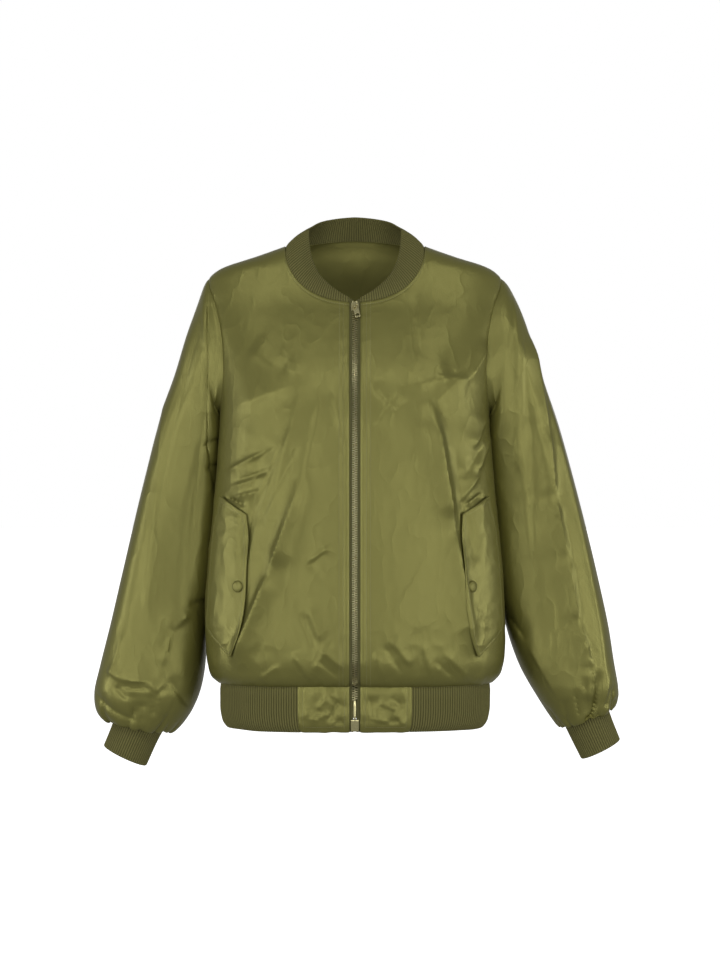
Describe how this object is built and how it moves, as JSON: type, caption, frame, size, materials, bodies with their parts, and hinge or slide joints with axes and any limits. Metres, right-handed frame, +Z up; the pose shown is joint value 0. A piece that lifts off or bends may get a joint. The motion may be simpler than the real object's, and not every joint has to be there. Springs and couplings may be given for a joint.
{
  "type": "bomber jacket",
  "caption": "Zip-front bomber jacket in plain woven cloth with rib-knit collar, cuffs and waistband, in the hollow shape that it has when worn.",
  "frame": {"origin": "midway between the two points where the shoulder seams meet the collar, where the wearer's shoulders hold the jacket up", "axes": "+X to the wearer's left, +Y from the front to the back, +Z up"},
  "size_m": [0.6901, 0.2402, 0.7222],
  "materials": {
    "shell_cloth": "smooth satin-like weave",
    "rib_knit": "matt rib knit",
    "zip_tape": "matt herringbone tape",
    "zip_metal": "polished, lightly worn"
  },
  "bodies": {
    "jacket": {"back": "shell_cloth", "collar": "rib_knit", "cuff_left": "rib_knit", "cuff_right": "rib_knit", "front_left": "shell_cloth", "front_right": "shell_cloth", "hem_tab_left": "shell_cloth", "hem_tab_right": "shell_cloth", "pocket_flap_left": "shell_cloth", "pocket_flap_right": "shell_cloth", "sleeve_left": "shell_cloth", "sleeve_right": "shell_cloth", "snap_left": "shell_cloth", "snap_right": "shell_cloth", "waistband": "rib_knit", "zip_box": "zip_metal", "zip_chain": "zip_metal", "zip_pin": "zip_metal", "zip_slider": "zip_metal", "zip_stop_left": "zip_metal", "zip_stop_right": "zip_metal", "zip_tape_left": "zip_tape", "zip_tape_right": "zip_tape"},
    "pull_tab": {"zip_pull": "zip_metal"}
  },
  "joints": [
    {"name": "pull_tab_swing", "type": "hinge", "parent": "jacket", "child": "pull_tab", "pos_m": [0, -0.07114, -0.07989], "axis": [-0.9816, -0.1027, -0.1608], "range_deg": [0, 150]}
  ]
}
